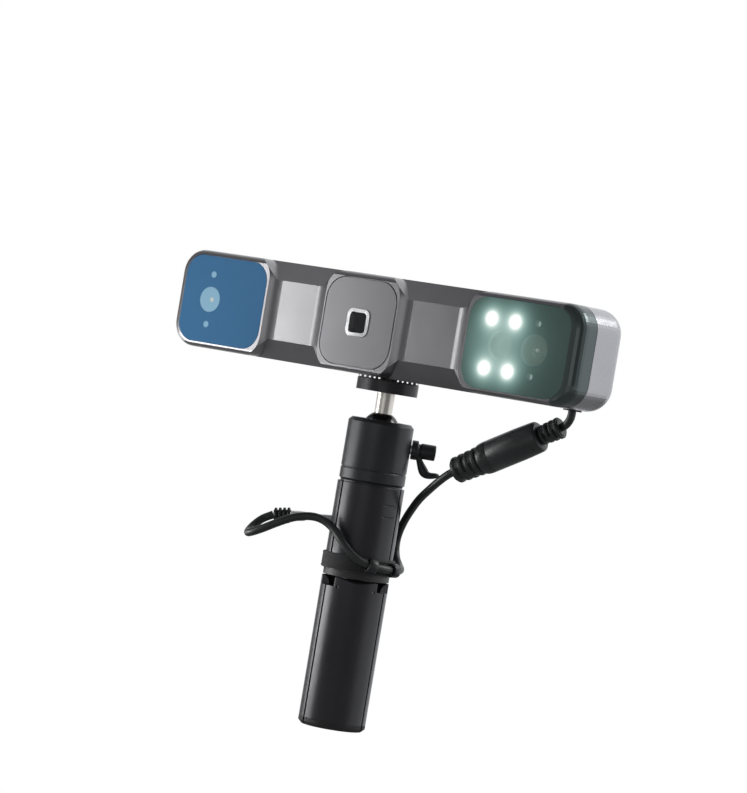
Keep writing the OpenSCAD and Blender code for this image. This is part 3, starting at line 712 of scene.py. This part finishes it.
def plain(name, colour, metallic=0.0, roughness=0.4, vary=0.12,
          rough_vary=0.08, grain=0.15, grain_scale=3500, rounding=0.25,
          coat=0.0, coat_rough=0.1, wear=0.0, wear_colour=None):
    """Painted, moulded or cast surface: slow drift, fine grain, worn edges."""
    s = Surface(name)
    slow = s.noise(45, 3, 0.55)
    base = s.mix(s.remap(slow, 0.3, 0.7, 0, 1), shade(colour, 1 - vary),
                 shade(colour, 1 + vary))
    if wear:
        spots = s.remap(s.noise(260, 4, 0.6), 0.42, 0.66, 0, 1)
        mask = s.math("MULTIPLY", s.edge_mask(rounding * 1.6), spots)
        base = s.mix(s.math("MULTIPLY", mask, wear), base,
                     wear_colour or shade(colour, 2.2))
    smear = s.noise(120, 4, 0.6, distortion=0.4)
    rough = s.remap(smear, 0.3, 0.7, roughness - rough_vary,
                    roughness + rough_vary)
    s.set(Base_Color=base, Metallic=metallic, Roughness=rough,
          Coat_Weight=coat, Coat_Roughness=coat_rough)
    s.bump(s.noise(grain_scale, 2, 0.6), grain, 0.04, rounding)
    return s.material


def fleck(s, base, amount):
    """Fine metal flakes in a paint."""
    flakes = s.remap(s.noise(9000, 1, 0.5), 0.35, 0.65, 1 - amount, 1 + amount)
    return s.mix(1.0, base, flakes, "MULTIPLY")


def metal_paint(name, colour, metallic, roughness, rounding, shade_from=None):
    """Satin paint with flakes; past a given X it takes a darker colour, a
    painted shade.
    """
    s = Surface(name)
    slow = s.noise(28, 3, 0.5)
    base = s.mix(s.remap(slow, 0.3, 0.7, 0, 1), shade(colour, 0.95),
                 shade(colour, 1.05))
    base = fleck(s, base, 0.05)
    if shade_from is not None:
        # painted shade: the shell's end past that X is darkened, as if it stood
        # in shade
        past = s.remap(s.split()["X"], shade_from * MM, (shade_from + 1.5) * MM,
                       0, 1, True)
        base = s.mix(past, base, END_SHADE_COLOUR)
    smear = s.noise(70, 4, 0.6)
    s.set(Base_Color=base, Metallic=metallic,
          Roughness=s.remap(smear, 0.3, 0.7, roughness - 0.02,
                            roughness + 0.03),
          Coat_Weight=0.15, Coat_Roughness=0.12)
    s.bump(s.noise(6000, 2, 0.6), 0.05, 0.02, rounding)
    return s.material


def brushed(name, colour, roughness, factors):
    """Turned or drawn metal: noise stretched along the tool's marks."""
    s = Surface(name)
    marks = s.noise(1.0, 3, 0.6, at=s.stretched(factors))
    base = s.mix(s.remap(marks, 0.35, 0.65, 0, 1), shade(colour, 0.88),
                 shade(colour, 1.08))
    s.set(Base_Color=base, Metallic=1.0,
          Roughness=s.remap(marks, 0.3, 0.7, roughness - 0.05,
                            roughness + 0.07))
    s.bump(marks, 0.12, 0.02, 0.15)
    return s.material


def bell(s, r, spread, peak):
    """A smooth hill: the peak at r = 0, dying away over the spread in mm."""
    power = s.math("MULTIPLY", s.math("MULTIPLY", r, r), -1 / spread ** 2)
    return s.math("MULTIPLY", s.math("EXPONENT", power), peak)


def painted_glow_sum(s, centres, core, halo):
    """Painted glow that the glass itself emits round lamps; core and halo:
    (spread, peak).
    """
    total = None
    for centre in centres:
        r = s.radial(centre)
        both = s.math("ADD", bell(s, r, *core), bell(s, r, *halo))
        total = both if total is None else s.math("ADD", total, both)
    return total


def discs(s, centres, radius):
    """1 inside circles of that radius in mm, and 0 outside."""
    soft = 0.25
    total = None
    for centre in centres:
        one = s.remap(s.radial(centre), radius - soft, radius + soft, 1, 0,
                      True)
        total = one if total is None else s.math("MAXIMUM", total, one)
    return total


def marker_discs(s, camera):
    """The small openings over the marker lights above and below a camera."""
    return discs(s, [(camera[0], HEAD_Z + side * MARKER_RISE)
                     for side in (-1, 1)], MARKER_OPENING_R)


def blue_glass():
    """The left window: blue, clearer over the camera, with a pale painted
    highlight in its opening.
    """
    s = Surface("blue_glass")
    drift = s.remap(s.noise(22, 2, 0.4), 0.3, 0.7, 0, 1)
    base = s.mix(drift, (0.030, 0.150, 0.33), (0.036, 0.170, 0.36))
    lens = discs(s, [LEFT_CAM], LEFT_OPENING_R)
    opening = s.math("MAXIMUM", lens, marker_discs(s, LEFT_CAM))
    base = s.mix(opening, base, (0.36, 0.66, 0.86))
    # a pale spot in the camera's opening: a painted highlight, not a real
    # reflection
    painted_highlight = s.remap(s.radial((LEFT_CAM[0] + 1.1, HEAD_Z)), 0.3, 1.5,
                    0.9, 0, True)
    base = s.mix(painted_highlight, base, (0.98, 0.97, 0.84))
    s.set(Base_Color=base, Roughness=0.12, Specular_IOR_Level=0.06,
          Alpha=s.remap(opening, 0, 1, 1.0, 0.82))
    s.bump(s.noise(300, 2, 0.5), 0.015, 0.02, 0.25)
    return s.material


def smoke_glass():
    """The right window: smoked, with a painted glow round the lamps and a
    painted highlight.
    """
    s = Surface("smoke_glass")
    drift = s.remap(s.noise(24, 3, 0.5), 0.3, 0.7, 0, 1)
    base = s.mix(drift, (0.075, 0.125, 0.112), (0.095, 0.150, 0.138))
    lens = discs(s, [RIGHT_CAM], RIGHT_OPENING_R)
    flood = discs(s, [FLOOD], FLOOD_OPENING_R)
    opening = s.math("MAXIMUM", s.math("MAXIMUM", lens, flood),
                     marker_discs(s, RIGHT_CAM))
    base = s.mix(opening, base, (0.24, 0.32, 0.28))
    # a pale spot in the camera's opening: a painted highlight, not a real
    # reflection
    painted_highlight = s.remap(s.radial((RIGHT_CAM[0] + 1.4, HEAD_Z + 0.2)), 0.2, 1.1,
                    0.8, 0, True)
    base = s.mix(painted_highlight, base, (0.9, 0.96, 0.9))
    # the glass itself emits this painted glow round the four lamps and the
    # flood lamp, though it is no lamp
    painted_glow = s.math("ADD", painted_glow_sum(s, LAMPS, (2.5, 1.7), (5.5, 0.42)),
                  painted_glow_sum(s, [FLOOD], (9.0, 0.05), (16.0, 0.26)))
    colour = s.mix(s.math("MINIMUM", painted_glow, 1.0), (0.5, 0.95, 0.85),
                   (0.95, 1.0, 0.96))
    s.set(Base_Color=base, Roughness=0.1, Specular_IOR_Level=0.35,
          Alpha=s.remap(opening, 0, 1, 1.0, 0.55),
          Emission_Color=colour, Emission_Strength=painted_glow)
    s.bump(s.noise(300, 2, 0.5), 0.015, 0.02, 0.25)
    return s.material


def lens_glass(name, tint):
    """A coated lens: a clear coat over a deep tinted body."""
    s = Surface(name)
    drift = s.remap(s.noise(160, 2, 0.5), 0.3, 0.7, 0, 1)
    s.set(Base_Color=s.mix(drift, shade(tint, 0.8), shade(tint, 1.1)),
          Metallic=0.35, Roughness=0.1, Coat_Weight=1.0, Coat_Roughness=0.02)
    s.bump(s.noise(500, 2, 0.5), 0.01, 0.01, 0.1)
    return s.material


def lamp_glow(name, colour, strength):
    """A lit lamp, a little uneven."""
    s = Surface(name)
    cells = s.remap(s.noise(1400, 2, 0.5), 0.35, 0.65, 0.85, 1.1)
    s.set(Base_Color=(0.85, 0.88, 0.86), Roughness=0.35,
          Emission_Color=s.mix(s.remap(s.noise(900, 2, 0.5), 0.3, 0.7, 0, 1),
                               shade(colour, 0.92), colour),
          Emission_Strength=s.math("MULTIPLY", cells, strength))
    s.bump(s.noise(3000, 2, 0.5), 0.1, 0.02, 0.1)
    return s.material


def ball_metal():
    """The ball's dark polished metal, with faint turning marks."""
    s = Surface("ball_dark")
    streak = s.noise(1.0, 3, 0.6, at=s.stretched((700, 700, 4000)))
    base = s.mix(s.remap(streak, 0.35, 0.65, 0, 1), (0.05, 0.05, 0.05),
                 (0.09, 0.085, 0.08))
    s.set(Base_Color=base, Metallic=0.9,
          Roughness=s.remap(streak, 0.3, 0.7, 0.16, 0.26))
    s.bump(streak, 0.06, 0.02, 0.15)
    return s.material


def woven_elastic():
    """Ribs along the band with fine cross threads."""
    s = Surface("woven_elastic")
    rib_pitch, threads_round = 0.62, 190.0
    place = s.split()
    angle = s.math("ARCTAN2", place["Y"], place["X"])
    ribs = s.math("SINE", s.math("MULTIPLY", place["Z"],
                                 2 * math.pi / (rib_pitch * MM)))
    threads = s.math("SINE", s.math("MULTIPLY", angle, threads_round))
    weave = s.math("MULTIPLY", ribs, threads)
    lift = s.math("ADD", s.math("MULTIPLY", weave, 0.5),
                  s.math("MULTIPLY", ribs, 0.35))
    fuzz = s.noise(4200, 3, 0.65)
    base = s.mix(s.remap(lift, -0.8, 0.8, 0, 1), (0.006, 0.006, 0.007),
                 (0.03, 0.03, 0.033))
    base = s.mix(s.remap(fuzz, 0.45, 0.75, 0, 0.35), base, (0.07, 0.07, 0.075))
    s.set(Base_Color=base, Roughness=0.78, Sheen_Weight=0.25,
          Sheen_Roughness=0.5, Specular_IOR_Level=0.3)
    s.bump(lift, 0.55, 0.12)
    s.bump(fuzz, 0.25, 0.05)
    return s.material


def cable_sheath():
    """Soft PVC: slow changes of tone and gloss, dust and fine grain."""
    s = Surface("cable_sheath")
    slow = s.remap(s.noise(110, 4, 0.6), 0.35, 0.7, 0, 1)
    base = s.mix(slow, (0.010, 0.012, 0.012), (0.020, 0.023, 0.023))
    dust = s.remap(s.noise(2600, 2, 0.5), 0.62, 0.8, 0, 0.3)
    s.set(Base_Color=s.mix(dust, base, (0.09, 0.09, 0.09)),
          Roughness=s.remap(slow, 0, 1, 0.36, 0.5), Specular_IOR_Level=0.55)
    s.bump(s.noise(1500, 3, 0.6), 0.12, 0.05)
    return s.material


def board_material():
    """Green solder mask with tracks and a few pale parts."""
    s = Surface("board_green")
    tracks = s.add("ShaderNodeTexBrick")
    tracks.inputs["Scale"].default_value = 160
    tracks.inputs["Color1"].default_value = (0.01, 0.075, 0.035, 1)
    tracks.inputs["Color2"].default_value = (0.012, 0.09, 0.045, 1)
    tracks.inputs["Mortar"].default_value = (0.03, 0.17, 0.08, 1)
    tracks.inputs["Mortar Size"].default_value = 0.03
    turned = s.add("ShaderNodeMapping")
    turned.inputs["Rotation"].default_value = (math.pi / 2, 0, 0)
    s.link(s.place, turned.inputs["Vector"])
    s.link(turned.outputs[0], tracks.inputs["Vector"])
    pads = s.remap(s.noise(700, 2, 0.5), 0.66, 0.7, 0, 0.6)
    s.set(Base_Color=s.mix(pads, tracks.outputs["Color"], (0.55, 0.5, 0.35)),
          Roughness=0.38, Coat_Weight=0.4, Coat_Roughness=0.15)
    s.bump(tracks.outputs["Fac"], 0.3, 0.03, 0.1)
    return s.material


def key_face():
    """The scan key: accent colour with a pale ring pressed into it."""
    s = Surface("key_accent")
    r = s.radial((0, HEAD_Z))
    ring = s.math("MULTIPLY", s.remap(r, 4.9, 5.2, 0, 1, True),
                  s.remap(r, 5.7, 6.0, 1, 0, True))
    slow = s.remap(s.noise(60, 3, 0.5), 0.3, 0.7, 0, 1)
    base = s.mix(slow, (0.42, 0.10, 0.028), (0.50, 0.13, 0.035))
    base = s.mix(s.math("MULTIPLY", ring, 0.8), base, (0.85, 0.82, 0.78))
    s.set(Base_Color=base, Roughness=0.42, Coat_Weight=0.1)
    s.bump(s.math("SUBTRACT", s.noise(3000, 2, 0.6),
                  s.math("MULTIPLY", ring, 1.5)), 0.2, 0.08, 0.3)
    return s.material


# the painted shade on the graphite shell's right end, and the X where it starts
END_SHADE_COLOUR = (0.085, 0.105, 0.105)
END_SHADE_FROM = 94.5
GRAPHITE = metal_paint("graphite_shell", (0.255, 0.252, 0.262), 0.9, 0.29, 0,
                       END_SHADE_FROM)
SILVER = metal_paint("silver_shell", (0.40, 0.40, 0.42), 0.85, 0.27, 0.5)
LOOKS = {
    "front_shell": GRAPHITE,
    "rear_shell": SILVER,
    "shell_seal": plain("seal_rubber", (0.02, 0.02, 0.022), roughness=0.6),
    "left_window": blue_glass(),
    "right_window": smoke_glass(),
    "centre_cover": metal_paint("cover_grey", (0.20, 0.198, 0.208), 0.9, 0.30,
                                0.3),
    "slot_bezel": plain("bright_trim", (0.80, 0.80, 0.82), metallic=1.0,
                        roughness=0.2, rough_vary=0.04, grain=0.02,
                        rounding=0.2, vary=0.04),
    "slot_window": plain("dark_glass", (0.01, 0.01, 0.012), roughness=0.08,
                         rough_vary=0.03, grain=0.02, coat=1.0,
                         coat_rough=0.02, rounding=0.1),
    "pattern_projector": plain("projector_black", (0.03, 0.03, 0.033),
                               metallic=0.3, roughness=0.45, wear=0.3),
    "left_camera": plain("camera_blue", (0.10, 0.26, 0.42), metallic=0.5,
                         roughness=0.3),
    "right_camera": plain("camera_green", (0.13, 0.17, 0.15), metallic=0.5,
                          roughness=0.3),
    "left_lens": lens_glass("lens_blue", (0.22, 0.48, 0.72)),
    "right_lens": lens_glass("lens_green", (0.24, 0.31, 0.27)),
    "flood_lens": lens_glass("lens_flood", (0.2, 0.26, 0.23)),
    "flood_lamp": plain("flood_black", (0.04, 0.045, 0.045), metallic=0.4,
                        roughness=0.4),
    "lamp_board": board_material(),
    "lamp_leds": lamp_glow("lamp_white", (0.95, 1.0, 0.96), 3.0),
    "marker_leds": lamp_glow("marker_white", (0.75, 0.9, 1.0), 0.9),
    "optical_bench": brushed("bench_alloy", (0.6, 0.6, 0.62), 0.3,
                             (60, 900, 2200)),
    "board_posts": brushed("post_brass", (0.72, 0.5, 0.2), 0.22,
                           (300, 3000, 300)),
    "main_board": board_material(),
    "heat_sink": brushed("sink_alloy", (0.62, 0.62, 0.64), 0.32,
                         (120, 1500, 1500)),
    "shell_screws": brushed("screw_steel", (0.45, 0.45, 0.47), 0.22,
                            (2500, 400, 2500)),
    "thread_insert": brushed("insert_brass", (0.74, 0.53, 0.22), 0.2,
                             (400, 400, 4000)),
    "cable_gland": plain("gland_rubber", (0.018, 0.018, 0.02),
                         roughness=0.55, rounding=0.3),
    "scan_button": key_face(),
    "up_key": plain("key_grey", (0.045, 0.045, 0.05), roughness=0.48,
                    rounding=0.3),
    "status_light": lamp_glow("status_green", (0.25, 1.0, 0.45), 1.6),
    "rubber_pad": plain("pad_rubber", (0.013, 0.013, 0.014), roughness=0.62,
                        grain=0.4, grain_scale=2200),
    "mount_disc": plain("disc_black", (0.028, 0.026, 0.030), metallic=0.35,
                        roughness=0.36, wear=0.4, rounding=0.3),
    "camera_stud": brushed("stud_steel", (0.55, 0.55, 0.56), 0.25,
                           (300, 300, 7000)),
    "stem": plain("stem_satin", (0.80, 0.76, 0.70), metallic=0.75,
                  roughness=0.3, rough_vary=0.03, grain=0.05, rounding=0.2),
    "ball": ball_metal(),
    "ball_cup": plain("cup_plastic", (0.5, 0.48, 0.4), roughness=0.4),
    "seat_ring": plain("ring_plastic", (0.36, 0.35, 0.33), roughness=0.4),
    "ball_housing": plain("housing_black", (0.036, 0.038, 0.040),
                          metallic=0.45, roughness=0.37, rough_vary=0.03,
                          grain=0.2, grain_scale=5200, rounding=0.4,
                          wear=0.5, wear_colour=(0.3, 0.3, 0.31)),
    "clamp_pusher": brushed("pusher_brass", (0.7, 0.5, 0.22), 0.25,
                            (3000, 3000, 300)),
    "clamp_screw": brushed("clamp_steel", (0.5, 0.5, 0.51), 0.25,
                           (5000, 5000, 400)),
    "tie_screw": brushed("tie_steel", (0.5, 0.5, 0.51), 0.28,
                         (400, 400, 4000)),
    "grip_shell": plain("grip_black", (0.026, 0.026, 0.030), metallic=0.25,
                        roughness=0.33, rough_vary=0.03, grain=0.18,
                        grain_scale=4200, rounding=0.35, wear=0.35),
    "leg_hub": plain("hub_black", (0.022, 0.022, 0.024), roughness=0.5),
    "leg_pins": brushed("pin_steel", (0.55, 0.55, 0.56), 0.2,
                        (900, 900, 900)),
    "foot_a": plain("foot_rubber", (0.014, 0.014, 0.015), roughness=0.68,
                    grain=0.5, grain_scale=1800, rounding=0.5),
}
SAME_LOOK = {"down_key": "up_key", "leg_a": "grip_shell",
             "leg_b": "grip_shell", "leg_c": "grip_shell",
             "foot_b": "foot_a", "foot_c": "foot_a"}
SHEATH = cable_sheath()
MOULDED = plain("connector_moulding", (0.017, 0.020, 0.020), roughness=0.42,
                grain=0.3, grain_scale=2600, rounding=0.2)
CASE = plain("connector_plastic", (0.020, 0.025, 0.025), roughness=0.34,
             grain=0.2, grain_scale=3800, rounding=0.3)
ALLOY = plain("lever_alloy", (0.026, 0.027, 0.029), metallic=0.5,
              roughness=0.3, rounding=0.3, wear=0.6,
              wear_colour=(0.35, 0.35, 0.36))
PIECE_LOOKS = {
    "lead_cable": SHEATH, "cable_neck": SHEATH, "cable_top": SHEATH,
    "cable_side": SHEATH, "cable_wrap": SHEATH, "cable_loop": SHEATH,
    "upper_boot": MOULDED, "upper_boot_webs": MOULDED,
    "lower_boot": MOULDED, "lower_boot_webs": MOULDED,
    "connector_case": CASE,
    "latch_hole_1": LOOKS["slot_window"], "latch_hole_2": LOOKS["slot_window"],
    "plug_relief": MOULDED,
    "plug_case": plain("plug_white", (0.72, 0.72, 0.70), roughness=0.3,
                       grain=0.1, rounding=0.2, coat=0.2),
    "plug_nose": brushed("plug_steel", (0.32, 0.32, 0.34), 0.28,
                         (600, 600, 3000)),
    "lever_barrel": ALLOY, "lever_wing": ALLOY,
    "elastic_band": woven_elastic(), "band_eye_1": MOULDED,
    "band_eye_2": MOULDED,
    "band_stitches": plain("thread_grey", (0.06, 0.06, 0.062), roughness=0.7,
                           grain=0.5),
}


def dress(obj, material):
    """Gives a piece one material."""
    obj.data.materials.clear()
    obj.data.materials.append(material)


for node_name, node_obj in nodes.items():
    look = LOOKS.get(SAME_LOOK.get(node_name, node_name))
    if look is not None:
        dress(node_obj, look)
for piece_name, look in PIECE_LOOKS.items():
    dress(bpy.data.objects[piece_name], look)


# ---- studio ----

def make_world():
    """White behind the object and on its right, dark in front of it."""
    world = bpy.data.worlds.new("studio")
    scene.world = world
    world.use_nodes = True
    tree = world.node_tree
    tree.nodes.clear()
    new, link = tree.nodes.new, tree.links.new
    place = new("ShaderNodeTexCoord")
    dot = new("ShaderNodeVectorMath")
    dot.operation = "DOT_PRODUCT"
    away = Vector((-BACK.x, -BACK.y, 0)).normalized()
    lean = math.radians(50)
    dot.inputs[1].default_value = away * math.cos(lean) + RIGHT * math.sin(lean)
    link(place.outputs["Generated"], dot.inputs[0])
    spread = new("ShaderNodeMapRange")
    spread.interpolation_type = "SMOOTHSTEP"
    dark_below, white_above, dark, white = 0.10, 0.50, 0.18, 1.0
    for socket, value in zip(spread.inputs[1:5],
                             (dark_below, white_above, dark, white)):
        socket.default_value = value
    link(dot.outputs["Value"], spread.inputs[0])
    lit = new("ShaderNodeBackground")
    lit.inputs["Color"].default_value = (0.97, 0.98, 1.0, 1)
    link(spread.outputs[0], lit.inputs["Strength"])
    backdrop = new("ShaderNodeBackground")
    backdrop.inputs["Color"].default_value = (1, 1, 1, 1)
    backdrop.inputs["Strength"].default_value = 1.0
    seen = new("ShaderNodeLightPath")
    choose = new("ShaderNodeMixShader")
    link(seen.outputs["Is Camera Ray"], choose.inputs[0])
    link(lit.outputs[0], choose.inputs[1])
    link(backdrop.outputs[0], choose.inputs[2])
    out = new("ShaderNodeOutputWorld")
    link(choose.outputs[0], out.inputs[0])


def make_floor():
    """A pale round floor below the held object; it fades to white outside."""
    level, radii, count = -0.45, (0.5, 1.0, 1.5, 2.0), 96
    fade_from, white_from, least_glow = 1.2, 1.9, 0.55
    verts = [Vector((0, 0, level))]
    for radius in radii:
        verts += [Vector((x, y, level)) for x, y in circle(radius, count)]
    faces = [(0, 1 + k, 1 + (k + 1) % count) for k in range(count)]
    for inner in range(len(radii) - 1):
        a = 1 + inner * count
        faces += [(a + k, a + count + k, a + count + (k + 1) % count,
                   a + (k + 1) % count) for k in range(count)]
    floor = add_mesh("floor", verts, faces)
    s = Surface("floor")
    place = s.split()
    fade = s.remap(s.length(place["X"], place["Y"]), fade_from, white_from,
                   0, 1, True)
    seen = s.add("ShaderNodeLightPath").outputs["Is Camera Ray"]
    pale = s.math("MAXIMUM", fade, s.math("MULTIPLY", seen, least_glow))
    s.set(Base_Color=(0.4, 0.4, 0.4), Roughness=0.8,
          Emission_Color=(1.0, 1.0, 1.0), Emission_Strength=pale)
    dress(floor, s.material)


# each light's offset right, up and back in the camera's axes, its width and
# height, all in metres, and its radiance
SOFT_BOXES = {
    "head_box": (-0.43, 0.03, 0.058, 0.08, 0.16, 3.7),
    "grip_box": (-0.40, -0.12, -0.08, 0.30, 0.14, 6.5),
    "end_box": (0.42, 0.34, -0.02, 0.30, 0.16, 5.0),
    "front_box": (-0.16, 0.02, 0.46, 0.28, 0.16, 0.6),
    "sky_box": (-0.40, 0.46, -0.12, 0.26, 0.26, 0.28)}
LIT_POINT = Vector((0, 0, 0.1))
# a light's watts, for each square metre and each unit of radiance
POWER_SCALE = 4


def soft_box(name, right, up, back, width, height, radiance):
    """An area light that looks at the lit point, low in the head."""
    data = bpy.data.lights.new(name, "AREA")
    data.shape = "RECTANGLE"
    data.size, data.size_y = width, height
    data.energy = radiance * POWER_SCALE * width * height
    light = bpy.data.objects.new(name, data)
    light.location = LIT_POINT + RIGHT * right + UP * up + BACK * back
    look = LIT_POINT - light.location
    light.rotation_mode = "QUATERNION"
    light.rotation_quaternion = look.to_track_quat("-Z", "Y")
    scene.collection.objects.link(light)


make_world()
make_floor()
for box_name, box in SOFT_BOXES.items():
    soft_box(box_name, *box)
scene.view_settings.view_transform = "Standard"
scene.view_settings.look = "None"
scene.view_settings.exposure = 0.0
